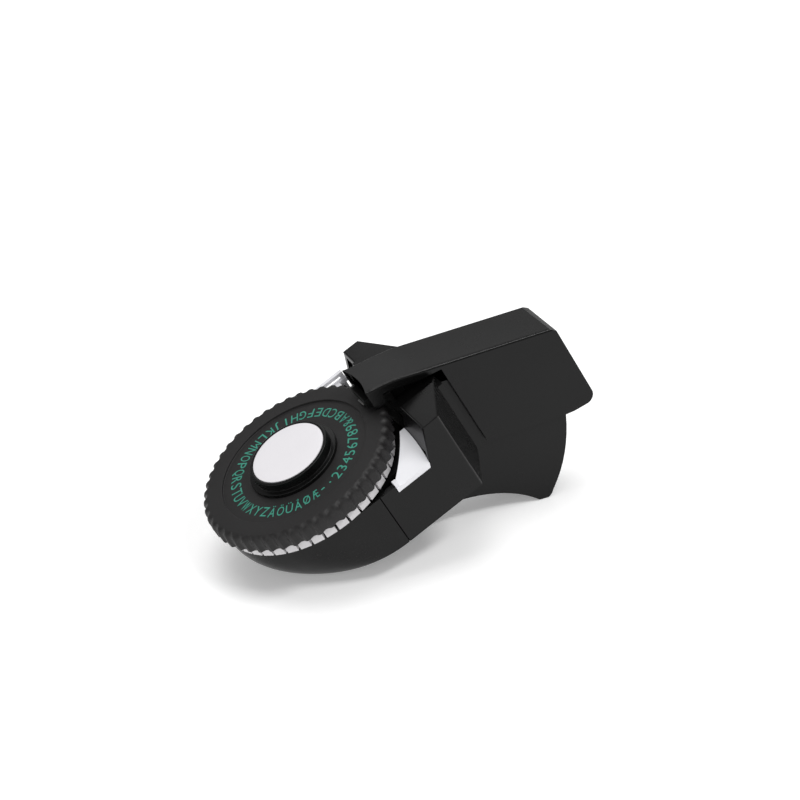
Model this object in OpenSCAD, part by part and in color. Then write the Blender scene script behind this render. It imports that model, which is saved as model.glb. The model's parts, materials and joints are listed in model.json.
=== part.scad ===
/* [Character wheel] */
// Radius over the crests of the wheel's knurled rim
wheel_r = 28.3; // [25:0.1:34]
// Thickness of the upper disc at its rim
disc_t = 5; // [3.2:0.1:6]
// Thickness of the lower die disc
die_t = 2.65; // [2.2:0.05:4.2]
// Height between the two discs, for the tape
tape_gap = 0.45; // [0.35:0.05:0.8]
// How far the die disc stays inside the knurled rim
die_inset = 1.7; // [1:0.1:3]
// Number of characters, each with its own die finger
char_count = 43; // [36:1:48]
// Number of finger grooves round the rim
knurl_count = 48; // [32:4:60]
// Radius of each rim groove
knurl_r = 1.5; // [1:0.1:2]
// Depth of the rim grooves
knurl_depth = 0.75; // [0.4:0.05:1]
// Depth of the dish that the characters stand in
dish_depth = 0.6; // [0.3:0.1:1]
// Radius of the wheel's axle
axle_r = 3; // [2.5:0.1:4]

/* [Knob] */
// Radius of the knob's grip
knob_r = 11.7; // [10:0.1:13]
// Radius of the knob's foot flange
flange_r = 13.1; // [13:0.1:15]
// Height of the knob above the wheel's top face
knob_h = 3; // [2.4:0.1:4.5]
// Radius of the cap let into the knob
cap_r = 10.6; // [8:0.1:11]

/* [Casing] */
// Half of the casing's width
case_half_w = 25.4; // [22:0.1:30]
// Depth of the casing's floor below the wheel's top face
case_depth = 26.5; // [22:0.1:32]
// Distance from the wheel's axle back to the seam of the front pan
seam_x = 10.8; // [6:0.1:14]
// How far the pan's front lip reaches ahead of the wheel's axle
pan_reach = 26.5; // [24:0.1:30]
// Thickness of the moulded walls
wall = 1.6; // [1.2:0.1:2]
// Height of the two shoulders above the wheel's top face
shoulder_h = 0.6; // [0:0.1:2]
// Half of the tail's thickness
tail_half_w = 6.95; // [6:0.05:7.5]
// Depth of the tail's tip below the wheel's top face
tail_depth = 60.2; // [54:0.1:66]

/* [Lever] */
// Distance from the wheel's rim back to the lever's pivot
lever_reach = 43; // [40:0.1:50]
// Depth of the lever's pivot below the wheel's top face
pivot_depth = 33.4; // [30:0.1:36]
// How far the lever reaches behind its pivot
lever_rear = 6.85; // [6:0.05:8]
// How far the lever's lower corner reaches below its pivot
lever_drop = 7.5; // [6.5:0.1:9]
// Radius of that corner
corner_r = 2.7; // [1.5:0.1:4]
// Slope of the lever's long top face, in degrees
lever_slope = 23.7; // [20:0.1:26]
// Thickness of the lever's top wall
lever_top_t = 1.7; // [1.2:0.1:2.2]
// Thickness of the lever's side walls
lever_side_t = 1; // [0.8:0.1:1.4]
// Angle that the lever turns through, in degrees
lever_travel = 2.6; // [1.8:0.1:3.4]

/* [Fits] */
// Play between a turning or sliding piece and what guides it
run_gap = 0.06; // [0.04:0.01:0.1]
// Radius of the steel pin that the lever turns on
pin_r = 1.5; // [1:0.1:2]
// Radius of the thread of the casing screws
screw_r = 1; // [0.8:0.1:1.4]

/* [Hidden] */
$fn = 64;
eps = 0.01;
far = 200;

// heights, measured down from the wheel's top face
die_top = -disc_t - tape_gap;
die_bottom = die_top - die_t;
deck_top = die_bottom - 1.1;
deck_t = 1.6;
rim_z = deck_top + 0.2;
floor_z = -case_depth;
dish_r = wheel_r - 6.4;
die_r = wheel_r - die_inset;
emboss_r = wheel_r - 3;
cutter_turn = -2.5 * 360 / char_count;

// stations along the casing, measured from the wheel's axle
head_x = wheel_r - 3;
cheek_x = wheel_r - 5;
cheek_rear_x = wheel_r + 0.3;
bridge_x = wheel_r + 1.6;
shoulder_x = wheel_r + 2.2;
shoulder_low_x = wheel_r - 1.7;
side_rear_x = wheel_r + 7.3;
inner_rear_x = wheel_r + 14.2;
back_x = wheel_r + 15.1;
skirt_x = wheel_r + 17.5;
pivot_x = wheel_r + lever_reach;
shoulder_in_y = 11.9;
shoulder_rear_y = 10.4;
chute_inner_y = 11.5;
crank_pivot = [13.5, -1.2];
crank_pin_r = 0.8;
bridge_z = -2;
pivot = [pivot_x, -pivot_depth];

// the lever's top line: a shallow head that bends into the long slope
slope_z = 0.95;
head_slope = 10.8;
head_z = 7.9;
function slope_line(x) = slope_z - (x - skirt_x) * tan(lever_slope);
knee_x = (head_z - slope_z + head_x * tan(head_slope) - skirt_x * tan(lever_slope))
    / (tan(head_slope) - tan(lever_slope));
knee_z = slope_line(knee_x);
lever_rear_x = pivot_x + lever_rear;
head_half_w = 7.6;
head_r = 24;
lever_half_w = tail_half_w + lever_side_t + 0.3;
// the cheeks stay clear of the wheel when the lever is pressed home
press = lever_travel * PI / 180;
cheek_lift = (lever_reach + 5) * press + 0.4;

// plane curves and outlines
function curve(a, b, c, n) =
    [for (i = [0:n]) let (t = i / n) (1 - t) * (1 - t) * a + 2 * t * (1 - t) * b + t * t * c];
function distinct(p) = [for (i = [0:len(p) - 1]) if (norm(p[i] - p[(i + len(p) - 1) % len(p)]) > 0.01) p[i]];
function left_of(v) = [-v[1], v[0]] / norm(v);
function inset(p, d) = [for (i = [0:len(p) - 1])
    let (a = p[(i + len(p) - 1) % len(p)], b = p[i], c = p[(i + 1) % len(p)],
        m = left_of(b - a), n = left_of(c - b))
    b + (m + n) * d / (1 + m * n)];

block_plan = [[seam_x, -case_half_w], [side_rear_x, -case_half_w], [inner_rear_x, -shoulder_rear_y],
    [back_x, -8.5], [back_x, 8.5], [inner_rear_x, shoulder_rear_y], [side_rear_x, case_half_w],
    [seam_x, case_half_w]];

// side outline of the neck and tail, counter-clockwise with X to the right and Z up
tail_tip = [pivot_x - 19.3, -tail_depth];
tail_heel = [pivot_x - 2.7, -pivot_depth - 6.7];
tail_waist = [wheel_r + 2.4, -case_depth - 14.4];
tail_root = [wheel_r - 14, floor_z];
tail_side = distinct(concat(
    curve(tail_root, [wheel_r - 8.5, tail_waist[1] + 4.5], tail_waist, 6),
    curve(tail_waist, tail_tip + [-8.4, 12.8], tail_tip + [-2.7, 1.9], 10),
    curve(tail_tip + [-2.7, 1.9], tail_tip + [-0.2, -0.9], tail_tip + [2.4, 1.8], 5),
    curve(tail_tip + [2.4, 1.8], tail_heel + [-5, -11.9], tail_heel, 8),
    [[pivot_x, -pivot_depth], [pivot_x - 5, slope_line(pivot_x - 5) - 6.7],
    [back_x - 1, slope_line(back_x) - 6.2], [back_x - 8, -12], [tail_root[0], floor_z + 6]]));

// the front pan: half ellipses whose reach shrinks towards the floor
pan_steps = 6;
pan_sides = 28;
function half_ellipse(x, a, b) = [for (j = [0:pan_sides]) let (t = 90 + 180 * j / pan_sides)
    [x + a * cos(t), b * sin(t)]];
function pan_a(up) = case_half_w + (seam_x + pan_reach - case_half_w) * pow(cos(up), 1.4);
function pan_z(up) = rim_z + (floor_z - rim_z) * sin(up);

// the part stands on the pan's toe and the tail's tip: the tilt brings both down to one level
toe_side = [for (i = [0:30]) [seam_x - pan_a(3 * i), pan_z(3 * i)]];
function lowest(t, p) = min([for (q = p) q[0] * sin(t) + q[1] * cos(t)]);
function level_tilt(low, high, n) = let (t = (low + high) / 2)
    n == 0 ? t : lowest(t, tail_side) < lowest(t, toe_side)
        ? level_tilt(t, high, n - 1) : level_tilt(low, t, n - 1);
tilt = level_tilt(5, 50, 24);
foot_land = 0.3;
ground = lowest(tilt, tail_side) + foot_land;
front_end = -wheel_r * cos(tilt);
corner = [lever_rear_x - corner_r, -pivot_depth - lever_drop + corner_r];
rear_end = corner[0] * cos(tilt) - corner[1] * sin(tilt) + corner_r;

module placed() {
    translate([-(front_end + rear_end) / 2, 0, -ground])
        rotate([0, -tilt, 0]) children();
}

module above_ground() {
    intersection() {
        children();
        rotate([0, tilt, 0]) translate([-far, -far, ground]) cube([2 * far, 2 * far, far]);
    }
}

module side_extrude(outline, half_w) {
    translate([0, half_w, 0]) rotate([90, 0, 0]) linear_extrude(2 * half_w) polygon(outline);
}

module ring(r_out, r_in, z0, z1) {
    difference() {
        translate([0, 0, z0]) cylinder(r = r_out, h = z1 - z0);
        translate([0, 0, z0 - 1]) cylinder(r = r_in, h = z1 - z0 + 2);
    }
}

module across(x, z, r, y0, y1) {
    translate([x, y1, z]) rotate([90, 0, 0]) cylinder(r = r, h = y1 - y0);
}

module slab(p, q) {
    translate(p) cube(q - p);
}

// a round-wire compression spring standing on its base
function spring_ring(c, r, wire, rise, turn) =
    [for (i = [0:5]) let (a = i * 60, d = r + wire * cos(a))
        c + [d * cos(turn), d * sin(turn), rise + wire * sin(a)]];
module coil_spring(r, wire, height, turns) {
    steps = turns * 10;
    points = [for (s = [0:steps]) each spring_ring([0, 0, 0], r, wire,
        wire + (height - 2 * wire) * s / steps, 36 * s)];
    faces = concat([[5, 4, 3, 2, 1, 0]],
        [for (s = [0:steps - 1], i = [0:5]) each let (j = (i + 1) % 6)
            [[6 * s + i, 6 * s + j, 6 * s + 6 + j], [6 * s + i, 6 * s + 6 + j, 6 * s + 6 + i]]],
        [[for (i = [0:5]) 6 * steps + i]]);
    polyhedron(points, faces);
}

// where things stand in the casing
screw_posts = [[seam_x + 5, floor_z + 5], [wheel_r - 4.5, floor_z + 5],
    [pivot_x - 19, -tail_depth + 10], [skirt_x + 4, -22]];
screw_seat_y = 5;
screw_tip_y = 1.2 - tail_half_w;
post_r = 3;
pivot_boss_r = 5;
guide_half_w = 3.5;
stem_x0 = wheel_r + 2.3;
stem_x1 = wheel_r + 6.9;
stem_bottom = -13;
guide_seat = -20;
hammer_low = 0.9;
hammer_tip_half_w = 1.6;
post_front_y = case_half_w - 11.4;
post_rear_y = case_half_w - 7.4;
post_front_x = -7;
post_rear_x = seam_x + 3.2;
deck_posts = [[post_front_x, post_front_y], [post_front_x, -post_front_y],
    [post_rear_x, post_rear_y], [post_rear_x, -post_rear_y]];
deck_post_r = 2.6;
guard_y = [4.7, 6.1];
chute_low_z = rim_z - 2.4;
lever_spring_x = skirt_x + 12;
lever_spring_r = 2.6;
lever_spring_seat = -18;

module shoulders() {
    face = [[shoulder_x, shoulder_h], [shoulder_low_x, chute_low_z], [shoulder_low_x, floor_z],
        [far, floor_z], [far, shoulder_h]];
    for (s = [-1, 1])
        intersection() {
            side_extrude(face, case_half_w + 1);
            translate([0, 0, floor_z]) linear_extrude(case_depth + shoulder_h)
                polygon([[0, s * shoulder_in_y], [inner_rear_x - 1.4, s * (shoulder_in_y - 0.1)],
                    [inner_rear_x, s * shoulder_rear_y], [side_rear_x, s * case_half_w],
                    [0, s * case_half_w]]);
        }
}

module shoulder_cavity() {
    face = [[shoulder_x + wall, shoulder_h - wall], [shoulder_low_x + wall, chute_low_z],
        [shoulder_low_x + wall, floor_z + wall], [far, floor_z + wall], [far, shoulder_h - wall]];
    for (s = [-1, 1])
        intersection() {
            side_extrude(face, case_half_w);
            translate([0, 0, floor_z + wall]) linear_extrude(case_depth)
                polygon([[0, s * (shoulder_in_y + wall)], [inner_rear_x - 2.8, s * (shoulder_in_y + wall)],
                    [side_rear_x - wall * 0.7, s * (case_half_w - wall)], [0, s * (case_half_w - wall)]]);
        }
}

module block_cavity() {
    translate([0, 0, floor_z + wall]) linear_extrude(rim_z - floor_z)
        intersection() {
            polygon(concat([[seam_x - 1, -case_half_w + wall]],
                [for (i = [1:6]) inset(block_plan, wall)[i]], [[seam_x - 1, case_half_w - wall]]));
            translate([0, -far]) square([bridge_x - wall, 2 * far]);
        }
    for (s = [-1, 1])
        slab([bridge_x - wall - eps, min(s * 5.2, s * (shoulder_in_y - wall)), floor_z + wall],
            [back_x - wall, max(s * 5.2, s * (shoulder_in_y - wall)), bridge_z - wall]);
}

// two fixed walls that hide and steer the hammer, just above the wheel
module hammer_guard() {
    side = [[head_x + 0.1, 0.35], [bridge_x, 0.35], [bridge_x, bridge_z - eps],
        [bridge_x + 1.4, bridge_z - eps], [bridge_x + 1.4, 2.5], [head_x + 0.1, 3.5]];
    difference() {
        side_extrude(side, guard_y[1]);
        slab([-far, -guard_y[0], -far], [far, guard_y[0], far]);
    }
}

module casing_body() {
    above_ground() difference() {
        union() {
            translate([0, 0, floor_z]) linear_extrude(rim_z - floor_z) polygon(block_plan);
            shoulders();
            slab([bridge_x, -shoulder_in_y, floor_z], [back_x, shoulder_in_y, bridge_z]);
            side_extrude(tail_side, tail_half_w);
            across(pivot_x, -pivot_depth, pivot_boss_r, -tail_half_w, tail_half_w);
            hammer_guard();
        }
        difference() {
            union() {
                block_cavity();
                shoulder_cavity();
                side_extrude(inset(tail_side, wall), tail_half_w - wall);
            }
            for (p = screw_posts) across(p[0], p[1], post_r, -case_half_w, case_half_w);
            across(pivot_x, -pivot_depth, pivot_boss_r, -tail_half_w, tail_half_w);
            translate([lever_spring_x, 0, lever_spring_seat - 2]) cylinder(r = lever_spring_r + 2.2, h = 16);
            slab([stem_x0 - 2, -tail_half_w, guide_seat - 2], [stem_x1 + 2, tail_half_w, bridge_z]);
        }
        // the hammer's guide slot, open to the wheel side above the wheel's rim
        slab([stem_x0 - run_gap, -guide_half_w - run_gap, guide_seat],
            [stem_x1 + run_gap, guide_half_w + run_gap, 1]);
        // the well for the lever's spring
        translate([lever_spring_x, 0, lever_spring_seat]) cylinder(r = lever_spring_r + 1.2, h = 20);
        // side notches that the chute and the tape guide drop into
        difference() {
            side_extrude([[chute_x0 - 0.15, chute_low_z], [shoulder_low_x, chute_low_z],
                [shoulder_x, shoulder_h], [shoulder_x, shoulder_h + 1],
                [chute_x0 - 0.15, shoulder_h + 1]], case_half_w + 1);
            slab([-far, -case_half_w + wall + 2, -far], [far, case_half_w - wall - 2, far]);
        }
        // pocket in the far shoulder for the feed crank, and the bore of its pin
        slab([head_x, shoulder_in_y - 0.5, rim_z],
            [shoulder_x - 0.3, case_half_w - wall - 0.4, shoulder_h - 1.1]);
        translate([shoulder_x - 1, crank_pivot[0], crank_pivot[1]])
            rotate([0, 90, 0]) cylinder(r = crank_pin_r, h = 2.2);
        across(pivot_x, -pivot_depth, pin_r, -tail_half_w - 1, tail_half_w + 1);
        for (p = screw_posts) {
            across(p[0], p[1], screw_r, screw_tip_y, screw_seat_y);
            across(p[0], p[1], screw_r + 0.25, 0, screw_seat_y + 1);
            across(p[0], p[1], 2.3, screw_seat_y, case_half_w + 1);
        }
    }
    // ledges and posts that carry the deck
    for (s = [-1, 1]) difference() {
        translate([deck_posts[2][0], s * deck_posts[2][1], floor_z + eps])
            cylinder(r = deck_post_r, h = deck_top - deck_t - floor_z - eps);
        translate([deck_posts[2][0], s * deck_posts[2][1], deck_top - deck_t - 6])
            cylinder(r = screw_r, h = 7);
    }
}

module left_casing() {
    color([0.13, 0.13, 0.13]) intersection() {
        casing_body();
        slab([-far, -far, -far], [far, 0, far]);
    }
}

module right_casing() {
    color([0.13, 0.13, 0.13]) intersection() {
        casing_body();
        slab([-far, 0, -far], [far, far, far]);
    }
}

module pan_form(inward, floor_lift) {
    hull() for (i = [0:pan_steps]) let (up = 90 * i / pan_steps)
        translate([seam_x, 0, max(pan_z(up), floor_z + floor_lift) - (i == 0 ? 0 : eps)])
            linear_extrude(eps) polygon(half_ellipse(0, pan_a(up) - inward, case_half_w - inward));
}

module front_pan() {
    color([0.13, 0.13, 0.13]) above_ground() {
        difference() {
            pan_form(0, 0);
            translate([0.5, 0, 0.5]) pan_form(wall, wall + 0.5);
            translate([0, 0, rim_z - 1]) linear_extrude(3)
                polygon(half_ellipse(seam_x + 0.5, pan_a(8) - wall, case_half_w - wall));
        }
        for (i = [0, 1]) translate([deck_posts[i][0], deck_posts[i][1], floor_z + wall / 2])
            ring(deck_post_r, screw_r, 0, deck_top - deck_t - floor_z - wall / 2);
    }
}

// what stands on the deck
deck_r = case_half_w - wall - 0.5;
deck_rear_x = bridge_x - wall - 0.2;
deck_side_y = chute_inner_y + 0.647 * (case_half_w - chute_inner_y);

module wheel_deck() {
    color([0.16, 0.16, 0.17]) difference() {
        translate([0, 0, deck_top - deck_t]) linear_extrude(deck_t)
            polygon(concat([[deck_rear_x, deck_r]], half_ellipse(seam_x - 2, seam_x + 18, deck_r),
                [[deck_rear_x, -deck_r]]));
        translate([0, 0, deck_top - 5]) cylinder(r = axle_r, h = 10);
        for (p = deck_posts) translate([p[0], p[1], deck_top - 5]) cylinder(r = screw_r + 0.2, h = 10);
        // room for the chute and the guide at the two sides
        for (s = [-1, 1]) slab([wheel_r - 15.2, min(s * deck_side_y, s * far), -far],
            [far, max(s * deck_side_y, s * far), far]);
    }
}

axle_end = -dish_depth + 0.1;
module wheel_axle() {
    color("silver") difference() {
        union() {
            translate([0, 0, deck_top - deck_t - 1.2]) cylinder(r = 6, h = 1.2);
            translate([0, 0, deck_top - deck_t]) cylinder(r = axle_r, h = axle_end - deck_top + deck_t);
            translate([0, 0, deck_top]) cylinder(r = 4.6, h = die_bottom - deck_top - 0.1);
        }
        translate([0, 0, -8]) cylinder(r = 1.25, h = 12);
    }
}

module axle_washer() {
    color("silver") ring(4.2, 1.4, axle_end, axle_end + 0.5);
}

module axle_screw() {
    z = axle_end + 0.5;
    color("silver") difference() {
        union() {
            translate([0, 0, z]) cylinder(r = 2.5, h = 1.3);
            translate([0, 0, -7.5]) cylinder(r = 1.25, h = z + 7.5 + eps);
        }
        slab([-1.6, -0.25, z + 0.7], [1.6, 0.25, z + 2]);
        slab([-0.25, -1.6, z + 0.7], [0.25, 1.6, z + 2]);
    }
}

// a leaf spring whose bump drops between two die fingers
module detent_spring() {
    y = -min(die_r - 6.8, case_half_w - 5.6);
    tip_x = 8;
    leaf_t = 0.4;
    color("silver") union() {
        slab([-1.5, y - 1.4, deck_top], [3, y + 2.8, deck_top + leaf_t]);
        slab([3 - eps, y - 1, deck_top], [tip_x, y + 1, deck_top + leaf_t]);
        translate([tip_x, y, deck_top]) cylinder(r = 1.5, h = leaf_t);
        translate([tip_x, y, deck_top + leaf_t - eps]) cylinder(r1 = 1, r2 = 0.4, h = 0.5);
    }
}

module anvil() {
    color("silver") slab([emboss_r - 3.2, -2.6, deck_top], [emboss_r + 2.6, 2.6, die_bottom - 0.15]);
}

chute_top_z = die_top - 0.5;
chute_x0 = wheel_r - 12.4;
side_notch_x = wheel_r - 1.75;

module tape_chute() {
    mid_y = chute_inner_y + 0.576 * (case_half_w - chute_inner_y);
    t = 1.4;
    top = curve([-chute_inner_y, chute_top_z], [-mid_y, chute_top_z + 0.2], [-case_half_w, chute_low_z + t], 8);
    low = [for (i = [8:-1:0]) [top[i][0], max(top[i][1] - t, chute_low_z)]];
    color("white") union() {
        difference() {
            intersection() {
                translate([chute_x0, 0, 0]) rotate([90, 0, 90]) linear_extrude(far)
                    polygon(concat(low, [for (i = [8:-1:0]) top[8 - i]]));
                side_extrude([[chute_x0, -far], [side_notch_x, -far], [side_notch_x, chute_low_z],
                    [shoulder_x - 0.1, shoulder_h], [shoulder_x - 0.1, far], [chute_x0, far]], far);
            }
            translate([0, 0, -far]) cylinder(r = wheel_r + 0.7, h = 2 * far);
            slab([bridge_x - 0.1, -shoulder_in_y - 0.1, -far], [far, 0, far]);
        }
        slab([chute_x0, -case_half_w, chute_low_z], [side_notch_x, -case_half_w + 1.3, chute_low_z + t]);
        slab([chute_x0, -case_half_w + 0.2, chute_low_z + 0.6],
            [chute_x0 + 1.2, -case_half_w + 2, chute_low_z + 3]);
    }
}

// the tape comes in flat on the far side, between a plate and a lip
guide_x1 = wheel_r - 0.6;
guide_low = chute_top_z - 1.2;
slot_x = [wheel_r - 3.6, wheel_r - 1];
module tape_guide() {
    skin_y = case_half_w - 1.3;
    lip_z = chute_top_z + 2.4;
    lip_x = side_notch_x + 0.4;
    color([0.86, 0.85, 0.86]) difference() {
        union() {
            difference() {
                slab([chute_x0, chute_inner_y, guide_low], [guide_x1, case_half_w, chute_top_z]);
                slab([slot_x[0], chute_inner_y, -far], [slot_x[1], case_half_w - 1.4, far]);
                slab([side_notch_x, chute_inner_y, -far], [far, case_half_w - 1.6, far]);
            }
            slab([chute_x0, skin_y, chute_low_z], [side_notch_x, case_half_w, guide_low + eps]);
            slab([chute_x0, skin_y, chute_top_z - eps], [chute_x0 + 1.4, case_half_w, lip_z]);
            slab([side_notch_x - 0.8, skin_y, chute_top_z - eps], [lip_x, case_half_w, lip_z]);
            slab([chute_x0, skin_y, lip_z - 1], [lip_x, case_half_w, lip_z]);
        }
        translate([0, 0, -far]) cylinder(r = wheel_r + 0.7, h = 2 * far);
    }
}

module lever_pin() {
    color("silver") across(pivot_x, -pivot_depth, pin_r, -lever_half_w + 0.6, lever_half_w - 0.6);
}

module casing_screws() {
    color("silver") for (p = screw_posts) {
        across(p[0], p[1], screw_r, screw_tip_y, screw_seat_y + eps);
        difference() {
            across(p[0], p[1], 2, screw_seat_y, screw_seat_y + 1.5);
            across(p[0], p[1], 0.7, screw_seat_y + 0.7, screw_seat_y + 2);
        }
    }
}

module deck_screws() {
    color("silver") for (p = deck_posts) translate([p[0], p[1], deck_top]) {
        translate([0, 0, -6]) cylinder(r = screw_r, h = 6 + eps);
        cylinder(r = 1.9, h = 0.8);
    }
}

// what turns with the wheel
module upper_character_disc() {
    color([0.18, 0.17, 0.18]) difference() {
        translate([0, 0, -disc_t]) cylinder(r = wheel_r, h = disc_t);
        translate([0, 0, -dish_depth]) cylinder(r = dish_r, h = 1);
        translate([0, 0, -disc_t - 1]) cylinder(r = axle_r + run_gap, h = disc_t + 2);
        for (i = [0:knurl_count - 1]) rotate((i + 0.5) * 360 / knurl_count)
            translate([wheel_r + knurl_r - knurl_depth, 0, -disc_t - 1])
                cylinder(r = knurl_r, h = disc_t + 2);
        // the pocket that the cutter blade sits in
        rotate(cutter_turn) slab([emboss_r - 6, -0.6, -disc_t - 1], [emboss_r + 1, 0.6, -disc_t + 1.2]);
    }
}

module lower_die_disc() {
    color([0.86, 0.85, 0.86]) difference() {
        union() {
            translate([0, 0, die_bottom]) cylinder(r = die_r, h = die_t);
            translate([0, 0, die_top - eps]) cylinder(r = 8, h = tape_gap + eps);
        }
        translate([0, 0, die_bottom - 1]) cylinder(r = axle_r + run_gap, h = die_t + 3);
        for (i = [0:char_count - 1]) rotate((i + 0.5) * 360 / char_count)
            slab([die_r - 7.5, -0.28, die_bottom - 1], [die_r + 1, 0.28, die_top + 1]);
    }
}

module wheel_knob() {
    cap_seat = knob_h - 0.5;
    color([0.12, 0.12, 0.12]) difference() {
        union() {
            translate([0, 0, -dish_depth]) cylinder(r = flange_r, h = dish_depth + 0.45);
            translate([0, 0, 0.4]) cylinder(r = knob_r, h = knob_h - 0.4);
        }
        translate([0, 0, cap_seat]) cylinder(r = cap_r + 0.05, h = 2);
        translate([0, 0, -dish_depth - 1]) cylinder(r = 5, h = knob_h + dish_depth);
    }
}

module knob_cap() {
    color("white") translate([0, 0, knob_h - 0.5]) {
        cylinder(r = cap_r, h = 0.6);
        translate([0, 0, 0.6 - eps]) cylinder(r1 = cap_r, r2 = cap_r - 0.5, h = 0.25);
    }
}

module cutter_blade() {
    color("silver") rotate(cutter_turn)
        slab([emboss_r - 5.8, -0.4, -disc_t - 0.2], [emboss_r + 0.8, 0.4, -disc_t + 1.2]);
}

// the lever and what it drives
bend_x = 2 * knee_x - head_x;
lever_top = concat(curve([head_x, head_z], [knee_x, knee_z], [bend_x, slope_line(bend_x)], 8),
    [[lever_rear_x - 1.6, slope_line(lever_rear_x - 1.6)], [lever_rear_x, slope_line(lever_rear_x) - 1.2]]);

module lever_plan(inward) {
    linear_extrude(2 * far, center = true) polygon([
        [cheek_x - 9, -head_half_w + inward], [wheel_r + 3.7, -head_half_w + inward],
        [skirt_x - 6, -lever_half_w - 0.1 + inward], [lever_rear_x + 9, -lever_half_w + inward],
        [lever_rear_x + 9, lever_half_w - inward], [skirt_x - 6, lever_half_w + 0.1 - inward],
        [wheel_r + 3.7, head_half_w - inward], [cheek_x - 9, head_half_w - inward]]);
}

module lever() {
    skirt_low = -pivot_depth + 4.1;
    outline = concat([[cheek_x, cheek_lift]], lever_top,
        [for (a = [0:-12.5:-100]) corner + corner_r * [cos(a), sin(a)]],
        [pivot + [-0.4, -6.7], pivot + [-2.8, -5.9], [skirt_x, skirt_low], [skirt_x, slope_z - 1.6],
        [knee_x + 5, slope_line(knee_x + 5) - 3], [cheek_rear_x + 0.6, head_z - 3.6],
        [cheek_rear_x - 0.4, cheek_lift]]);
    hollow = concat([[head_x - 9, -far]], [for (p = lever_top) p - [p == lever_top[0] ? 9 : 0, lever_top_t]],
        [[lever_rear_x, -far]]);
    color([0.12, 0.12, 0.12]) difference() {
        intersection() {
            side_extrude([for (i = [len(outline) - 1:-1:0]) outline[i]], far);
            lever_plan(0);
        }
        intersection() {
            side_extrude([for (i = [len(hollow) - 1:-1:0]) hollow[i]], far);
            lever_plan(lever_side_t);
            slab([-far, -far, -far], [lever_rear_x - 1.2, far, far]);
        }
        // the concave front edge of the head
        translate([head_x + 1.2 - head_r, 0, -far]) cylinder(r = head_r, h = 2 * far);
        across(pivot_x, -pivot_depth, pin_r + run_gap, -lever_half_w + 0.45, lever_half_w - 0.45);
    }
}

module lever_spring() {
    top = slope_line(lever_spring_x) - lever_top_t - 1.4;
    color("silver") translate([lever_spring_x, 0, lever_spring_seat + 0.05])
        coil_spring(lever_spring_r, 0.35, top - lever_spring_seat - 0.1, 6);
}

// the foot under the lever's far lip that works the feed crank
crank_x = [wheel_r + 0.3, wheel_r + 1.2];
crank_in = 4.4;
crank_out = 7.6;
foot_y = [crank_pivot[0] - crank_in + 0.2, crank_pivot[0] - crank_in + 0.8];
foot_rear_x = crank_x[0] + 2.3;
module feed_foot() {
    color([0.12, 0.12, 0.12]) union() {
        slab([crank_x[0] + 0.3, head_half_w, 4.9], [foot_rear_x, foot_y[1], 6]);
        slab([crank_x[0] + 0.3, foot_y[0], crank_pivot[1] + 0.9], [foot_rear_x, foot_y[1], 4.9 + eps]);
    }
}

module crank_pin() {
    color("silver") translate([crank_x[0] - 0.3, crank_pivot[0], crank_pivot[1]])
        rotate([0, 90, 0]) cylinder(r = crank_pin_r, h = shoulder_x + 1.2 - crank_x[0]);
}

module feed_crank() {
    y = crank_pivot[0];
    z = crank_pivot[1];
    color("silver") difference() {
        union() {
            translate([crank_x[0], 0, 0]) rotate([90, 0, 90]) linear_extrude(crank_x[1] - crank_x[0])
                polygon([[y - crank_in, z - 0.6], [y - 1, z - 1.4], [y - 0.4, z - crank_out],
                    [y + 0.4, z - crank_out], [y + 1.4, z], [y, z + 1.2], [y - crank_in + 1, z - 0.1],
                    [y - crank_in + 0.9, z + 0.6], [y - crank_in, z + 0.6]]);
            translate([crank_x[0], y, z]) rotate([0, 90, 0]) cylinder(r = 1.5, h = crank_x[1] - crank_x[0]);
        }
        translate([crank_x[0] - 1, y, z]) rotate([0, 90, 0]) cylinder(r = crank_pin_r + run_gap, h = 4);
    }
}

module crank_spring() {
    color("silver") translate([crank_x[1] + 0.05, crank_pivot[0], crank_pivot[1]]) rotate([0, 90, 0])
        coil_spring(1.15, 0.12, shoulder_x - 0.35 - crank_x[1], 1);
}

module hammer() {
    front_x = cheek_x + 0.8;
    color([0.1, 0.1, 0.1]) union() {
        side_extrude([[stem_x0, stem_bottom], [stem_x1, stem_bottom],
            [stem_x1, 1.5], [stem_x0, 2.7]], guide_half_w);
        side_extrude([[front_x, hammer_low + 0.3], [stem_x0 + 0.6, hammer_low + 0.3],
            [stem_x0 + 0.6, 2.6], [front_x, 3.9]], guard_y[0] - 0.3);
    }
}

module hammer_tip() {
    color("silver") slab([emboss_r - hammer_tip_half_w, -hammer_tip_half_w, hammer_low],
        [emboss_r + hammer_tip_half_w, hammer_tip_half_w, hammer_low + 0.3]);
}

module hammer_spring() {
    color("silver") translate([(stem_x0 + stem_x1) / 2, 0, guide_seat + 0.05])
        coil_spring(1.7, 0.3, stem_bottom - guide_seat - 0.1, 5);
}

slider_z = [rim_z + 0.1, guide_low - 0.3];
slider_y = [crank_pivot[0] + 2.4, crank_pivot[0] + 5.4];
module feed_slider() {
    fork_y = crank_pivot[0];
    thin_z = slider_z[1] - 0.2;
    color([0.78, 0.77, 0.76]) difference() {
        union() {
            slab([slot_x[0] + 0.1, slider_y[0], slider_z[0]], [slot_x[1] - 0.1, slider_y[1], slider_z[1]]);
            slab([slot_x[1] - 0.2, fork_y - 1.9, slider_z[0]], [crank_x[1] + 0.1, slider_y[0] + 0.6, thin_z]);
            slab([slot_x[0] + 0.6, slider_y[0] - 1, slider_z[0]], [slot_x[1] - 0.1, slider_y[0] + eps, thin_z]);
        }
        slab([crank_x[0] - 0.3, fork_y - 1.1, -far], [far, fork_y + 1.1, far]);
    }
}

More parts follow.
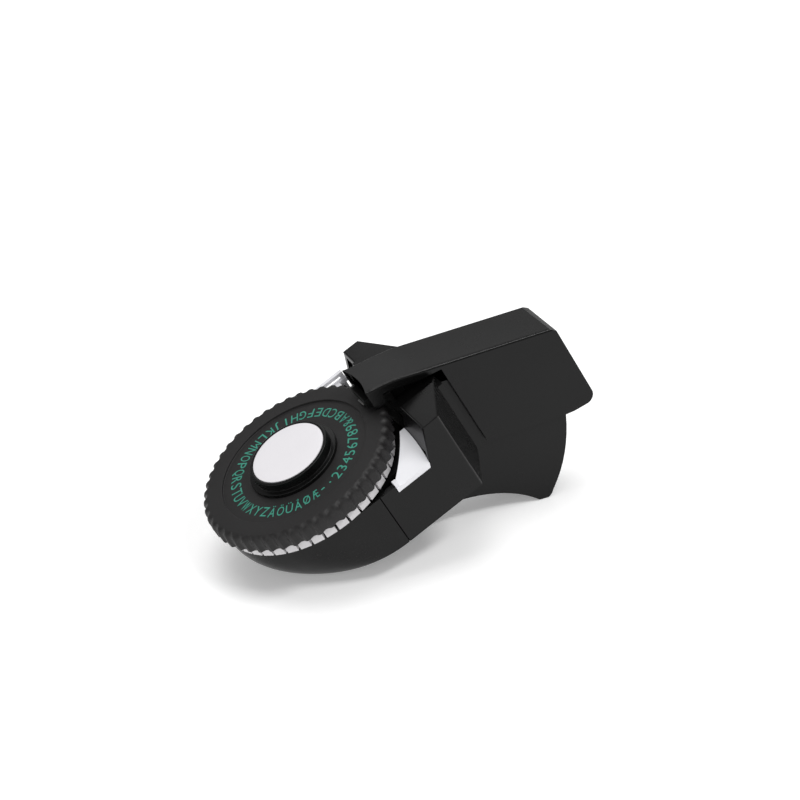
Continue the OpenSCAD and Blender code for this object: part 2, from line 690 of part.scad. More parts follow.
module feed_finger() {
    foot = [slot_x[0] + 0.4, slider_y[0] + 0.3, slider_z[1]];
    color("silver") union() {
        slab(foot, [slot_x[1] - 0.4, slider_y[1] - 0.3, slider_z[1] + 0.25]);
        slab(foot, [slot_x[1] - 0.4, slider_y[0] + 0.6, chute_top_z + 0.35]);
    }
}

placed() left_casing();
placed() right_casing();
placed() front_pan();
placed() wheel_deck();
placed() wheel_axle();
placed() axle_washer();
placed() axle_screw();
placed() detent_spring();
placed() anvil();
placed() tape_chute();
placed() tape_guide();
placed() lever_pin();
placed() casing_screws();
placed() deck_screws();
placed() upper_character_disc();
placed() lower_die_disc();
placed() wheel_knob();
placed() knob_cap();
placed() cutter_blade();
placed() lever();
placed() feed_foot();
placed() lever_spring();
placed() hammer();
placed() hammer_tip();
placed() hammer_spring();
placed() crank_pin();
placed() feed_crank();
placed() crank_spring();
placed() feed_slider();
placed() feed_finger();
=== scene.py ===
import json
import math

import bmesh
import bpy
from mathutils import Matrix, Vector


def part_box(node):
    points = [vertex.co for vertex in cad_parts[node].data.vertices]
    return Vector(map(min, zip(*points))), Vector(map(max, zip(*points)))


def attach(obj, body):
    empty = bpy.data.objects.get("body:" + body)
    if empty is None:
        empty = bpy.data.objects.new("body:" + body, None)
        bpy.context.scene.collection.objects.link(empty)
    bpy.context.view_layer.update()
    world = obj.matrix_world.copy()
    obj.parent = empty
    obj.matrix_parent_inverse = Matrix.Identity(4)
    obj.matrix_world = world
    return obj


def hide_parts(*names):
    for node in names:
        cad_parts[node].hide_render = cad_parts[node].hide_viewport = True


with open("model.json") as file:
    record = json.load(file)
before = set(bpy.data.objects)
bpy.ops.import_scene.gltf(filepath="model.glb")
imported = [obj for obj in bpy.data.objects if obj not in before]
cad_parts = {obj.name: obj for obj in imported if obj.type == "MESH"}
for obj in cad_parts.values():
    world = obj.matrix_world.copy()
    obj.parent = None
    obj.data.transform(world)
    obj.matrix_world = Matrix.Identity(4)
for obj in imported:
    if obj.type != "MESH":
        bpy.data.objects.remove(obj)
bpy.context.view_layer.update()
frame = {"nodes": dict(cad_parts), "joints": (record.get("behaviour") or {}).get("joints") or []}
nodes = frame["nodes"]
print("frame loaded:", len(nodes), "pieces from CAD")

# Every new piece is made in millimetres, upright on the wheel's own axis with the wheel's top face
# at zero, and is then tipped and shrunk into its place.
wheelJoint = next(j for j in frame["joints"] if j["name"] == "wheel_spin")
axis = Vector(wheelJoint["axis"])
hinge = Vector(wheelJoint["pos_m"])
topFace = max(v.co.dot(axis) for v in nodes["upper_character_disc"].data.vertices)
wheelTop = hinge + axis * (topFace - hinge.dot(axis))
lean = math.atan2(-axis.x, axis.z)


def span(node):
    # how far a CAD piece reaches along the wheel's axis, in mm from the wheel's top face
    heights = [(v.co - wheelTop).dot(axis) * 1000 for v in nodes[node].data.vertices]
    return min(heights), max(heights)


place = Matrix.Translation(wheelTop) @ Matrix.Rotation(-lean, 4, "Y") @ Matrix.Scale(0.001, 4)
wheelRadius = 1000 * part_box("upper_character_disc")[1].y
caseHalfWidth = 1000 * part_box("right_casing")[1].y
discLow = span("upper_character_disc")[0]
dieLow = span("lower_die_disc")[0]


class Wire:
    # one output or number in a material; sums and products add their own Math nodes
    def __init__(self, finish, socket):
        self.finish = finish
        self.socket = socket

    def sum(self, operation, a, b):
        return self.finish.add("ShaderNodeMath", {"operation": operation}, a, b)

    def __add__(self, other):
        return self.sum("ADD", self, other)

    def __radd__(self, other):
        return self.sum("ADD", other, self)

    def __sub__(self, other):
        return self.sum("SUBTRACT", self, other)

    def __rsub__(self, other):
        return self.sum("SUBTRACT", other, self)

    def __mul__(self, other):
        return self.sum("MULTIPLY", self, other)

    def __rmul__(self, other):
        return self.sum("MULTIPLY", other, self)

    def clamped(self):
        return self.finish.add("ShaderNodeClamp", {}, self, 0.0, 1.0)


class Finish:
    # a material with one Principled shader
    def __init__(self, name):
        self.material = bpy.data.materials.new(name)
        self.material.use_nodes = True
        self.tree = self.material.node_tree
        self.shader = self.tree.nodes["Principled BSDF"]

    def join(self, value, socket):
        if isinstance(value, Wire):
            self.tree.links.new(value.socket, socket)
        elif value is not None:
            socket.default_value = value

    def add(self, kind, settings, *values, out=0, **named):
        node = self.tree.nodes.new(kind)
        for key, value in settings.items():
            if key == "stops":
                ramp = node.color_ramp
                while len(ramp.elements) < len(value):
                    ramp.elements.new(0.5)
                for element, (at, colour) in zip(ramp.elements, value):
                    element.position = at
                    element.color = colour if len(colour) == 4 else (*colour, 1)
            else:
                setattr(node, key, value)
        for value, socket in zip(values, node.inputs):
            self.join(value, socket)
        for key, value in named.items():
            self.join(value, node.inputs[key.replace("_", " ")])
        return Wire(self, node.outputs[out])

    def where(self):
        return self.add("ShaderNodeTexCoord", {}, out="Object")

    def noise(self, scale, detail=3.0, roughness=0.5, at=None):
        return self.add("ShaderNodeTexNoise", {}, Vector=at or self.where(), Scale=scale, Detail=detail,
                        Roughness=roughness)

    def mix(self, share, a, b):
        node = self.tree.nodes.new("ShaderNodeMix")
        node.data_type = "RGBA"
        self.join(share, node.inputs[0])
        self.join(a, node.inputs[6])
        self.join(b, node.inputs[7])
        return Wire(self, node.outputs[2])

    def bump(self, height, distance, strength=1.0, normal=None):
        return self.add("ShaderNodeBump", {}, Strength=strength, Distance=distance, Height=height,
                        Normal=normal)

    def set(self, **sockets):
        for key, value in sockets.items():
            self.join(value, self.shader.inputs[key.replace("_", " ")])
        return self


def grey(value, tint=(1.0, 1.0, 1.0)):
    return (value * tint[0], value * tint[1], value * tint[2], 1.0)


def mouldedFinish(name, look):
    # moulded plastic: two close shades in soft clouds, fine grain, uneven polish and a few pale scuffs
    finish = Finish(name)
    clouds = finish.noise(look["cloudScale"], 3)
    grain = finish.noise(look["grainScale"], 2, 0.6)
    patches = finish.noise(look["patchScale"], 4, 0.65)
    scuff = ((finish.noise(look["scuffScale"], 6, 0.7) - look["scuffFrom"]) * 6).clamped()
    colour = finish.mix(clouds, look["dark"], look["light"])
    colour = finish.mix(scuff * look["scuffShare"], colour, look["scuff"])
    colour = finish.mix(grain * look["grainShare"], colour, look["light"])
    normal = finish.bump(grain, look["grainDepth"], 1.0, finish.bump(patches, look["waveDepth"]))
    polish = look["polish"]
    finish.set(
        Base_Color=colour, Normal=normal,
        Roughness=look["roughness"] + patches * polish + scuff * look["scuffDulling"] - 0.5 * polish,
        **{"Specular IOR Level": look["specular"]})
    return finish.material


def metalFinish(name, look):
    # drawn or turned steel: streaks along one direction, smears of oil and small nicks
    finish = Finish(name)
    along = finish.add("ShaderNodeMapping", {}, finish.where(), Scale=look["streaks"])
    streaks = finish.noise(1.0, 3, 0.6, along)
    smears = finish.noise(look["smearScale"], 4)
    nicks = (finish.noise(look["nickScale"], 2) - 0.66).clamped() * 3
    colour = finish.mix(streaks, look["dark"], look["light"])
    colour = finish.mix(smears * 0.35, colour, look["tarnish"])
    finish.set(
        Base_Color=colour, Metallic=1.0 - nicks * 0.3, Normal=finish.bump(streaks, look["depth"]),
        Roughness=look["roughness"] + streaks * 0.14 + smears * 0.1)
    return finish.material


def inkFinish(name, look):
    # hot-foiled characters: thin places where the foil has worn
    finish = Finish(name)
    worn = finish.noise(look["wornScale"], 4, 0.7)
    colour = finish.mix((worn - 0.35).clamped() * look["wornShare"], look["ink"], look["under"])
    finish.set(Base_Color=colour, Roughness=0.38 + worn * 0.2, Normal=finish.bump(worn, 0.00001))
    return finish.material


casingLook = {
    "dark": grey(0.002), "light": grey(0.004), "cloudScale": 90.0,
    "grainScale": 5200.0, "grainDepth": 0.0000035, "grainShare": 0.25,
    "patchScale": 140.0, "waveDepth": 0.000012,
    "scuff": grey(0.05), "scuffScale": 420.0, "scuffFrom": 0.66, "scuffShare": 0.12, "scuffDulling": 0.12,
    "roughness": 0.26, "polish": 0.1, "specular": 0.2,
}
frameLook = {**casingLook, "roughness": 0.5, "grainDepth": 0.000008}
wheelTint = (1.04, 0.98, 1.0)
wheelLook = {
    **casingLook, "dark": grey(0.004, wheelTint), "light": grey(0.014, wheelTint),
    "grainScale": 3300.0, "grainDepth": 0.00002, "grainShare": 0.8,
    "roughness": 0.5, "polish": 0.12, "specular": 0.3,
}
knobLook = {**casingLook, "roughness": 0.24}
capLook = {
    **casingLook, "dark": grey(0.7, (1, 0.975, 1.01)), "light": grey(0.76, (1, 0.98, 1.01)),
    "scuff": grey(0.55), "scuffShare": 0.06, "roughness": 0.3, "grainDepth": 0.000002,
}
dieTint = (1, 0.98, 1.0)
dieLook = {
    **casingLook, "dark": grey(0.5, dieTint), "light": grey(0.66, dieTint),
    "scuff": grey(0.3), "scuffShare": 0.15, "roughness": 0.42, "grainDepth": 0.000006,
}
chuteTint = (0.985, 0.985, 1.02)
chuteLook = {
    **casingLook, "dark": grey(0.72, chuteTint), "light": grey(0.8, chuteTint),
    "scuff": grey(0.5), "scuffShare": 0.06, "roughness": 0.3, "grainDepth": 0.000003,
}
sliderLook = {**casingLook, "dark": grey(0.3), "light": grey(0.38), "scuff": grey(0.2), "roughness": 0.4}
steelLook = {
    "dark": grey(0.32), "light": grey(0.55), "tarnish": grey(0.2, (1.0, 0.93, 0.85)),
    "streaks": (600.0, 600.0, 5000.0), "smearScale": 300.0, "nickScale": 1500.0,
    "roughness": 0.24, "depth": 0.000004,
}
springLook = {
    "dark": grey(0.22), "light": grey(0.5), "tarnish": grey(0.14, (1.0, 0.9, 0.8)),
    "streaks": (4000.0, 4000.0, 4000.0), "smearScale": 500.0, "nickScale": 2500.0,
    "roughness": 0.3, "depth": 0.000003,
}
inkLook = {
    "ink": (0.035, 0.28, 0.2, 1), "under": (0.015, 0.06, 0.05, 1),
    "wornScale": 1500.0, "wornShare": 0.9,
}
finishes = {
    "casing": mouldedFinish("GlossBlackCasing", casingLook),
    "frame": mouldedFinish("MattBlackFrame", frameLook),
    "wheel": mouldedFinish("FineTexturedWheel", wheelLook),
    "knob": mouldedFinish("SatinBlackKnob", knobLook),
    "cap": mouldedFinish("WhiteCap", capLook),
    "die": mouldedFinish("WarmWhiteDie", dieLook),
    "chute": mouldedFinish("WhiteChute", chuteLook),
    "slider": mouldedFinish("GreySlider", sliderLook),
    "steel": metalFinish("TurnedSteel", steelLook),
    "spring": metalFinish("SpringWire", springLook),
    "ink": inkFinish("TealFoil", inkLook),
}
print("finishes made:", len(finishes))


def clearSelection():
    if bpy.context.mode != "OBJECT":
        bpy.ops.object.mode_set(mode="OBJECT")
    bpy.ops.object.select_all(action="DESELECT")


def only(piece):
    # leaves this piece alone selected and active
    clearSelection()
    piece.select_set(True)
    bpy.context.view_layer.objects.active = piece


def edit(piece):
    only(piece)
    bpy.ops.object.mode_set(mode="EDIT")
    bpy.ops.mesh.select_mode(type="VERT")
    bpy.ops.mesh.select_all(action="DESELECT")


selectModes = {"verts": "VERT", "edges": "EDGE", "faces": "FACE"}


def pick(piece, wanted, kind="verts"):
    # selects the points, edges or faces that pass a test, by their place or normal
    bpy.ops.mesh.select_mode(type=selectModes[kind])
    shape = bmesh.from_edit_mesh(piece.data)
    for part in (*shape.verts, *shape.edges, *shape.faces):
        part.select_set(False)
    for part in getattr(shape, kind):
        if wanted(part):
            part.select_set(True)
    shape.select_flush_mode()
    bmesh.update_edit_mesh(piece.data)


def joined(parts, active):
    # makes one piece of several and returns it
    clearSelection()
    for part in parts:
        part.select_set(True)
    bpy.context.view_layer.objects.active = active
    bpy.ops.object.join()
    return bpy.context.object


def line(name, points):
    # a single point pushed out into a line, one step for each place
    clearSelection()
    bpy.ops.mesh.primitive_plane_add(size=1)
    piece = bpy.context.object
    piece.name = name
    bpy.ops.object.mode_set(mode="EDIT")
    bpy.ops.mesh.select_mode(type="VERT")
    bpy.ops.mesh.select_all(action="SELECT")
    bpy.ops.mesh.merge(type="CENTER")
    bpy.ops.transform.translate(value=points[0])
    for before, after in zip(points, points[1:]):
        bpy.ops.mesh.extrude_vertices_move(TRANSFORM_OT_translate={"value": Vector(after) - Vector(before)})
    return piece


# lengths in mm and angles in degrees
workSettings = {
    "weldSpun": 0.0005, "weldCopy": 0.002, "flatWithin": 0.6,
    "bevelFrom": 32, "smoothUnder": 35, "flatWeight": 80,
}


def spun(name, profile, steps):
    # a turned piece: its half section, in radius and height, spun round the axis
    piece = line(name, [(r, 0, z) for r, z in profile])
    bpy.ops.mesh.select_all(action="SELECT")
    bpy.ops.mesh.spin(steps=steps, angle=2 * math.pi, center=(0, 0, 0), axis=(0, 0, 1))
    bpy.ops.mesh.select_all(action="SELECT")
    bpy.ops.mesh.remove_doubles(threshold=workSettings["weldSpun"])
    bpy.ops.mesh.normals_make_consistent(inside=False)
    bpy.ops.object.mode_set(mode="OBJECT")
    return piece


def rounded(piece, width, segments=2):
    only(piece)
    bevel = piece.modifiers.new("Bevel", "BEVEL")
    bevel.width = width
    bevel.segments = segments
    bevel.limit_method = "ANGLE"
    bevel.angle_limit = math.radians(workSettings["bevelFrom"])
    bpy.ops.object.modifier_apply(modifier=bevel.name)
    return piece


def soften(piece, wanted, width, segments):
    # rounds the chosen edges, wider than the rest
    edit(piece)
    pick(piece, wanted, "edges")
    bpy.ops.mesh.bevel(offset=width, segments=segments, affect="EDGES", clamp_overlap=False)
    bpy.ops.object.mode_set(mode="OBJECT")


def refined(name, node, width, softer=()):
    # a merged copy of a CAD piece with its edges rounded
    piece = bpy.data.objects.new(name, nodes[node].data.copy())
    bpy.context.scene.collection.objects.link(piece)
    piece.data.transform(place.inverted())
    piece.data.materials.clear()
    edit(piece)
    bpy.ops.mesh.select_all(action="SELECT")
    bpy.ops.mesh.remove_doubles(threshold=workSettings["weldCopy"])
    flat = math.radians(workSettings["flatWithin"])
    bpy.ops.mesh.dissolve_limited(angle_limit=flat, use_dissolve_boundaries=False)
    for wanted, softWidth, softSegments in softer:
        soften(piece, wanted, softWidth, softSegments)
    return rounded(piece, width)


def settle(piece, body, finish, slot, *replaced, smooth=workSettings["smoothUnder"]):
    # tips the piece into place and hands it to its body
    only(piece)
    piece.matrix_world = place
    bpy.ops.object.transform_apply(location=True, rotation=True, scale=True)
    bpy.ops.object.shade_smooth_by_angle(angle=math.radians(smooth))
    # broad flat faces keep flat shading up to their rounded edges
    weighted = piece.modifiers.new("Weighted", "WEIGHTED_NORMAL")
    weighted.keep_sharp = True
    weighted.weight = workSettings["flatWeight"]
    bpy.ops.object.modifier_apply(modifier=weighted.name)
    piece.data.materials.clear()
    piece.data.materials.append(finishes[finish])
    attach(piece, body)
    if replaced:
        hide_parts(*replaced)
    return piece


discSettings = {
    "grooves": 48, "stepsPerGroove": 10, "grooveRadius": 1.5, "grooveDepth": 0.75, "grooveReach": 1.3,
    "thickness": -discLow, "edge": 0.35, "dishRadius": wheelRadius - 6.4, "dishDepth": 0.6, "bore": 3.06,
    "smooth": 28,
}


def makeDisc(s):
    r, t, e = wheelRadius, s["thickness"], s["edge"]
    dish, deep = s["dishRadius"], s["dishDepth"]
    under = [(s["bore"], -t), (r - 12, -t), (r - 1.6, -t), (r - e, -t), (r - 0.3 * e, -t + 0.3 * e),
             (r, -t + e)]
    # the rim rolls over softly to the top face
    rim = [(r, -0.5 * t), (r, -1.8), (r - 0.12, -1.1), (r - 0.45, -0.5), (r - 1.0, -0.12), (r - 1.8, 0),
           (r - 2.4, 0)]
    step = [(dish + 0.2, 0), (dish + 0.05, -0.06), (dish, -0.2), (dish - 0.05, -deep + 0.1),
            (dish - 0.2, -deep)]
    face = [(15, -deep), (s["bore"], -deep), (s["bore"], -t)]
    steps = s["grooves"] * s["stepsPerGroove"]
    disc = spun("CharacterDisc", under + rim + step + face, steps)
    edit(disc)

    def phaseOf(v):
        # how many steps a point lies past the last crest
        return round(math.degrees(math.atan2(v.co.y, v.co.x)) % 360 / (360 / steps)) % s["stepsPerGroove"]

    for phase in range(s["stepsPerGroove"]):
        turned = math.radians(360 / s["grooves"]) * (phase / s["stepsPerGroove"] - 0.5)
        across = r * math.sin(abs(turned))
        depth = math.sqrt(max(s["grooveRadius"] ** 2 - across ** 2, 0)) - s["grooveRadius"] + s["grooveDepth"]
        if depth <= 0:
            continue
        pick(disc, lambda v: v.co.xy.length > r - s["grooveReach"] and phaseOf(v) == phase)
        bpy.ops.transform.resize(value=((r - depth) / r, (r - depth) / r, 1), center_override=(0, 0, 0))
    bpy.ops.object.mode_set(mode="OBJECT")
    return settle(disc, "wheel", "wheel", "wheel_black", "upper_character_disc", smooth=s["smooth"])


letterSettings = {
    "row": "ABCDEFGHIJKLMNOPQRSTUVWXYZÄÖÜÅØÆ-.23456789&", "radius": 17.8, "size": 4.6,
    "pitch": 360 / 43, "first": 4.5, "proud": 0.05, "widest": 2.1,
}


def makeLetters(s):
    letters = []
    height = -discSettings["dishDepth"] + s["proud"] / 2
    for i, letter in enumerate(s["row"]):
        clearSelection()
        bpy.ops.object.text_add()
        text = bpy.context.object
        text.data.body = letter
        text.data.size = s["size"]
        text.data.align_x = "CENTER"
        text.data.align_y = "CENTER"
        text.data.resolution_u = 3
        text.data.extrude = s["proud"] / 2
        bpy.ops.object.convert(target="MESH")
        text = bpy.context.object
        low = Vector(map(min, *[v.co for v in text.data.vertices]))
        high = Vector(map(max, *[v.co for v in text.data.vertices]))
        squeeze = min(1, s["widest"] / (high.x - low.x))
        text.data.transform(Matrix.Translation(-(low + high) / 2))
        turned = math.radians(s["first"] + i * s["pitch"])
        text.matrix_world = (
            Matrix.Rotation(turned, 4, "Z") @ Matrix.Translation((s["radius"], 0, height))
            @ Matrix.Rotation(math.pi / 2, 4, "Z") @ Matrix.Diagonal((squeeze, 1, 1, 1)))
        bpy.ops.object.transform_apply(location=True, rotation=True, scale=True)
        letters.append(text)
    ring = joined(letters, letters[0])
    ring.name = "FoiledCharacters"
    return settle(ring, "wheel", "ink", "wheel_black")


dieSettings = {
    "count": 43, "inner": 19.1, "outer": wheelRadius - 1.7, "top": discLow - 0.45, "low": dieLow,
    "gap": 0.68, "edge": 0.22, "landInset": 0.45, "landDepth": 0.22,
    "hub": 8.0, "hubRise": 0.43, "hubOverlap": 0.3, "hubSteps": 172, "bore": 3.06,
}


def makeDie(s):
    # one die finger from a cube, tapered towards the hub, then copied round
    top, low = s["top"], s["low"]
    pitch = 2 * math.pi / s["count"]
    clearSelection()
    bpy.ops.mesh.primitive_cube_add(size=1, location=((s["inner"] + s["outer"]) / 2, 0, (top + low) / 2),
                                    scale=(s["outer"] - s["inner"], 1, top - low))
    finger = bpy.context.object
    bpy.ops.object.transform_apply(location=True, rotation=True, scale=True)
    edit(finger)
    for radius in (s["inner"], s["outer"]):
        pick(finger, lambda v: abs(v.co.x - radius) < 0.01)
        bpy.ops.transform.resize(value=(1, radius * pitch - s["gap"], 1), center_override=(radius, 0, 0))
    # the top is sunk a little inside its border
    pick(finger, lambda f: f.normal.z > 0.9, "faces")
    bpy.ops.mesh.inset(thickness=s["landInset"])
    bpy.ops.mesh.extrude_region_move(TRANSFORM_OT_translate={"value": (0, 0, -s["landDepth"])})
    bpy.ops.object.mode_set(mode="OBJECT")
    rounded(finger, s["edge"])
    fingers = []
    for i in range(s["count"]):
        only(finger)
        bpy.ops.object.duplicate()
        copy = bpy.context.object
        copy.matrix_world = Matrix.Rotation(i * pitch, 4, "Z")
        bpy.ops.object.transform_apply(location=True, rotation=True, scale=True)
        fingers.append(copy)
    bpy.data.objects.remove(finger)
    edge = s["inner"] + s["hubOverlap"]
    raised = top + s["hubRise"]
    hub = spun("DieDisc", [
        (s["bore"], low), (edge, low), (edge, low + 0.9), (edge, top - 0.9), (edge, top), (s["hub"] + 0.3, top),
        (s["hub"], top + 0.1), (s["hub"] - 0.2, raised), (s["bore"], raised), (s["bore"], low)], s["hubSteps"])
    die = joined((*fingers, hub), hub)
    return settle(die, "wheel", "die", "die_white", "lower_die_disc")


turnedSteps = 144  # round the knob and its cap
knobSettings = {
    "grip": 11.7, "flange": 13.1, "top": 3.0, "flangeTop": 0.45, "foot": -0.6, "bore": 5.0,
    "seat": 2.5, "seatRadius": 10.6 + 0.06, "well": 0.8,
}


def makeKnob(s):
    foot, step, top = s["foot"], s["flangeTop"], s["top"]
    flange, grip, seat, well = s["flange"], s["grip"], s["seatRadius"], s["well"]
    skirt = [(s["bore"], foot), (flange, foot), (flange, step - 0.25), (flange - 0.08, step - 0.08),
             (flange - 0.25, step)]
    side = [(grip + 0.35, step), (grip + 0.1, step + 0.1), (grip, step + 0.35), (grip, top - 0.35),
            (grip - 0.1, top - 0.1), (grip - 0.35, top)]
    recess = [(seat + 0.2, top), (seat + 0.05, top - 0.06), (seat, top - 0.2), (seat, s["seat"]),
              (well, s["seat"]), (well, top - 1), (s["bore"], top - 1), (s["bore"], foot)]
    knob = spun("WheelKnob", skirt + side + recess, turnedSteps)
    return settle(knob, "wheel", "knob", "knob_black", "wheel_knob")


capSettings = {"radius": 10.6, "low": 2.5, "rim": 3.05, "crown": 3.34, "rings": 9}


def makeCap(s):
    # a shallow crown in rings, from the rim to the middle
    crown = []
    for i in range(1, s["rings"]):
        a = math.pi / 2 * (s["rings"] - 1 - i) / (s["rings"] - 1)
        rise = (s["crown"] - s["rim"]) * math.cos(a) ** 0.9
        crown.append((s["radius"] * (1 - 0.02) * math.sin(a), s["rim"] + rise))
    side = [(0, s["low"]), (s["radius"], s["low"]), (s["radius"], s["rim"] - 0.12),
            (s["radius"] - 0.06, s["rim"])]
    cap = spun("KnobCap", side + crown, turnedSteps)
    return settle(cap, "wheel", "cap", "cap_white", "knob_cap")


panSettings = {
    "seam": 10.8, "seamGap": 0.06, "reach": 26.5, "rim": -9.0, "floor": -26.5, "wall": 1.6,
    "inside": 0.02, "noseCurve": 1.4, "points": 128, "rings": 20,
}


def makePan(s):
    # an ellipse pushed down and drawn in, ring after ring, then cut at the seam and given its wall
    width = caseHalfWidth - s["inside"]
    middleOfSeam = (s["seam"], 0, 0)
    height = s["rim"] - s["inside"]
    clearSelection()
    bpy.ops.mesh.primitive_circle_add(vertices=s["points"], radius=1, location=(s["seam"], 0, height))
    pan = bpy.context.object
    pan.name = "FrontPan"
    bpy.ops.object.transform_apply(location=True, rotation=True, scale=True)
    edit(pan)
    bpy.ops.mesh.select_all(action="SELECT")

    def reach(up):
        return width + (s["seam"] + s["reach"] - width) * max(math.cos(up), 0.001) ** s["noseCurve"]

    size = reach(0)
    bpy.ops.transform.resize(value=(size, width, 1), center_override=middleOfSeam)
    for i in range(1, s["rings"] + 1):
        up = math.radians(90) * i / s["rings"]
        newSize = reach(up)
        newHeight = s["rim"] + (s["floor"] - s["rim"]) * math.sin(up)
        bpy.ops.mesh.extrude_edges_move(TRANSFORM_OT_translate={"value": (0, 0, newHeight - height)})
        bpy.ops.transform.resize(value=(newSize / size, 1, 1), center_override=middleOfSeam)
        size, height = newSize, newHeight
    bpy.ops.mesh.fill_grid(span=s["points"] // 4)
    bpy.ops.mesh.select_all(action="SELECT")
    bpy.ops.mesh.normals_make_consistent(inside=False)
    bpy.ops.mesh.select_all(action="SELECT")
    bpy.ops.mesh.bisect(plane_co=(s["seam"] - s["seamGap"], 0, 0), plane_no=(1, 0, 0), clear_outer=True)
    bpy.ops.object.mode_set(mode="OBJECT")
    wall = pan.modifiers.new("Wall", "SOLIDIFY")
    wall.thickness = s["wall"]
    wall.offset = -1
    wall.use_even_offset = False
    bpy.ops.object.modifier_apply(modifier=wall.name)
    # the land that it stands on is cut level with the ground
    edit(pan)
    bpy.ops.mesh.select_all(action="SELECT")
    ground = place.inverted()
    upward = (ground.to_3x3() @ Vector((0, 0, 1))).normalized()
    bpy.ops.mesh.bisect(plane_co=ground.translation, plane_no=upward, clear_inner=True, use_fill=True)
    bpy.ops.object.mode_set(mode="OBJECT")
    return settle(pan, "root", "casing", "casing_black", "front_pan")


def turn(edge):
    # the angle over an edge in degrees, or none at a loose edge
    return math.degrees(edge.calc_face_angle(0))


def middle(edge):
    return (edge.verts[0].co + edge.verts[1].co) / 2


leverSettings = {"rimFrom": 6.9, "rimWidth": 0.85, "rimSegments": 4, "edge": 0.25}


def leverRim(edge):
    # between the lever's long top face and its two sides
    sides = sorted(face.normal.z for face in edge.link_faces)
    isCorner = turn(edge) > 60 and sides[-1] > 0.85 and abs(sides[0]) < 0.3
    return isCorner and abs(middle(edge).y) > leverSettings["rimFrom"]


def makeLever(s):
    lever = refined("SqueezeLever", "lever", s["edge"], [(leverRim, s["rimWidth"], s["rimSegments"])])
    return settle(lever, "lever", "casing", "casing_black", "lever")


casingSettings = {"rimFrom": 0.5, "rimWidth": 0.45, "cornerWidth": 0.6, "segments": 3, "edge": 0.2}


def shoulderRim(edge):
    isTop = max(face.normal.z for face in edge.link_faces) > 0.95
    return turn(edge) > 30 and middle(edge).z > casingSettings["rimFrom"] and isTop


def blockCorner(edge):
    # the upright corners of the block beside the tail
    isUpright = abs(edge.verts[0].co.z - edge.verts[1].co.z) > 3
    return turn(edge) > 15 and isUpright and abs(middle(edge).y) > caseHalfWidth - 0.1


def makeCasingHalf(s, name, node):
    softer = [(shoulderRim, s["rimWidth"], s["segments"]), (blockCorner, s["cornerWidth"], s["segments"])]
    return settle(refined(name, node, s["edge"], softer), "root", "casing", "casing_black", node)


print("making the wheel")
makeDisc(discSettings)
makeLetters(letterSettings)
makeDie(dieSettings)
makeKnob(knobSettings)
makeCap(capSettings)
print("making the casing")
makePan(panSettings)
makeCasingHalf(casingSettings, "LeftCasing", "left_casing")
makeCasingHalf(casingSettings, "RightCasing", "right_casing")
makeLever(leverSettings)

# smaller pieces whose edges are only rounded: name, body, finish, slot, edge in mm
smallPieces = {
    "tape_chute": ("TapeChute", "root", "chute", "chute_white", 0.15),
    "tape_guide": ("TapeGuide", "root", "chute", "chute_white", 0.12),
    "hammer": ("PressHammer", "hammer", "frame", "hammer_black", 0.2),
}
for node, (name, body, finish, slot, edge) in smallPieces.items():
    settle(refined(name, node, edge), body, finish, slot, node)

# the CAD pieces that stay as they are get their finishes
keptFinishes = {
    "wheel_deck": "frame", "wheel_axle": "steel", "axle_washer": "steel", "axle_screw": "steel",
    "detent_spring": "spring", "anvil": "steel", "lever_pin": "steel", "casing_screws": "steel",
    "deck_screws": "steel", "cutter_blade": "steel", "feed_foot": "casing", "lever_spring": "spring",
    "hammer_tip": "steel", "hammer_spring": "spring", "crank_pin": "steel", "feed_crank": "steel",
    "crank_spring": "spring", "feed_slider": "slider", "feed_finger": "spring",
}
for node, finish in keptFinishes.items():
    for i in range(len(nodes[node].data.materials)):
        nodes[node].data.materials[i] = finishes[finish]
print("finishes given to", len(keptFinishes), "CAD pieces")


floorSettings = {"size": 6, "drop": 0.0002, "dark": grey(0.88), "light": grey(0.92), "glow": 0.24}


def makeStage(s):
    clearSelection()
    bpy.ops.mesh.primitive_plane_add(size=s["size"], location=(0, 0, -s["drop"]))
    floor = bpy.context.object
    floor.name = "Floor"
    paper = Finish("PaleFloor")
    paper.set(Base_Color=paper.mix(paper.noise(30, 3), s["dark"], s["light"]), Roughness=0.9,
              Emission_Color=grey(1.0), Emission_Strength=s["glow"])
    floor.data.materials.append(paper.material)


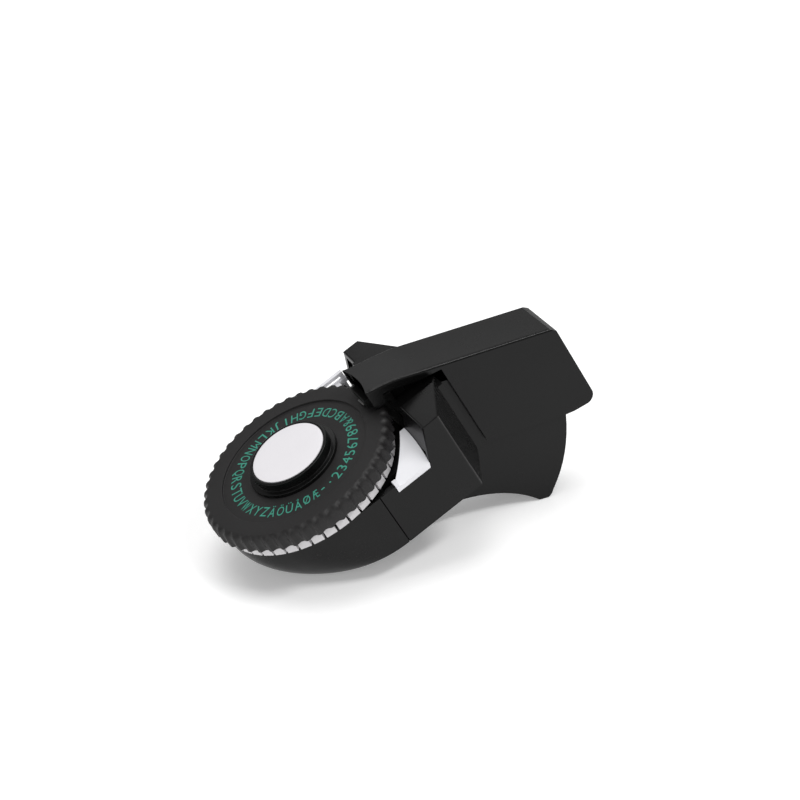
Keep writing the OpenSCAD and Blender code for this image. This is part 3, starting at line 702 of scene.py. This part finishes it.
aimed = (0, 0, 0.03)
lights = [
    {"name": "Overhead", "place": (-0.1, 0.15, 1.3), "aim": aimed, "size": (1.0, 0.8), "power": 9},
    {"name": "NearSide", "place": (-0.9, -0.9, 0.7), "aim": aimed, "size": (0.5, 0.5), "power": 3},
    {"name": "BackStrip", "place": (0.3, 0.95, 0.8), "aim": aimed, "size": (1.2, 0.3), "power": 1},
    # for the thin bright line along the lever's rounded upper edge
    {"name": "EdgeStrip", "place": (0.28, -0.5, 0.86), "aim": (0.02, 0, 0.04), "size": (0.5, 0.1), "power": 4},
]
worldStrength = 0.32


def makeLights():
    for s in lights:
        bpy.ops.object.light_add(type="AREA", location=s["place"])
        lamp = bpy.context.object
        lamp.name = s["name"]
        lamp.data.shape = "RECTANGLE"
        lamp.data.size, lamp.data.size_y = s["size"]
        lamp.data.energy = s["power"]
        lamp.rotation_euler = (Vector(s["aim"]) - Vector(s["place"])).to_track_quat("-Z", "Y").to_euler()
    world = bpy.data.worlds.new("Studio")
    world.use_nodes = True
    background = world.node_tree.nodes["Background"]
    background.inputs["Color"].default_value = (1, 1, 1, 1)
    background.inputs["Strength"].default_value = worldStrength
    bpy.context.scene.world = world


cameraSettings = {
    "fromWheel": (-0.200367, -0.531904, 0.321569), "right": (0.904537, -0.422320, -0.058802),
    "up": (0.248493, 0.410041, 0.877563), "lens": 109.545, "shift": (0.0194, 0.0081),
}


def makeCamera(s):
    bpy.ops.object.camera_add(location=wheelTop + Vector(s["fromWheel"]))
    camera = bpy.context.object
    right, up = Vector(s["right"]).normalized(), Vector(s["up"]).normalized()
    camera.rotation_mode = "QUATERNION"
    camera.rotation_quaternion = Matrix((right, up, right.cross(up))).transposed().to_quaternion()
    camera.data.sensor_width = 36
    camera.data.lens = s["lens"]
    camera.data.shift_x, camera.data.shift_y = s["shift"]
    camera.data.clip_start, camera.data.clip_end = 0.01, 20
    bpy.context.scene.camera = camera
    bpy.context.scene.view_settings.view_transform = "Standard"


makeStage(floorSettings)
makeLights()
makeCamera(cameraSettings)
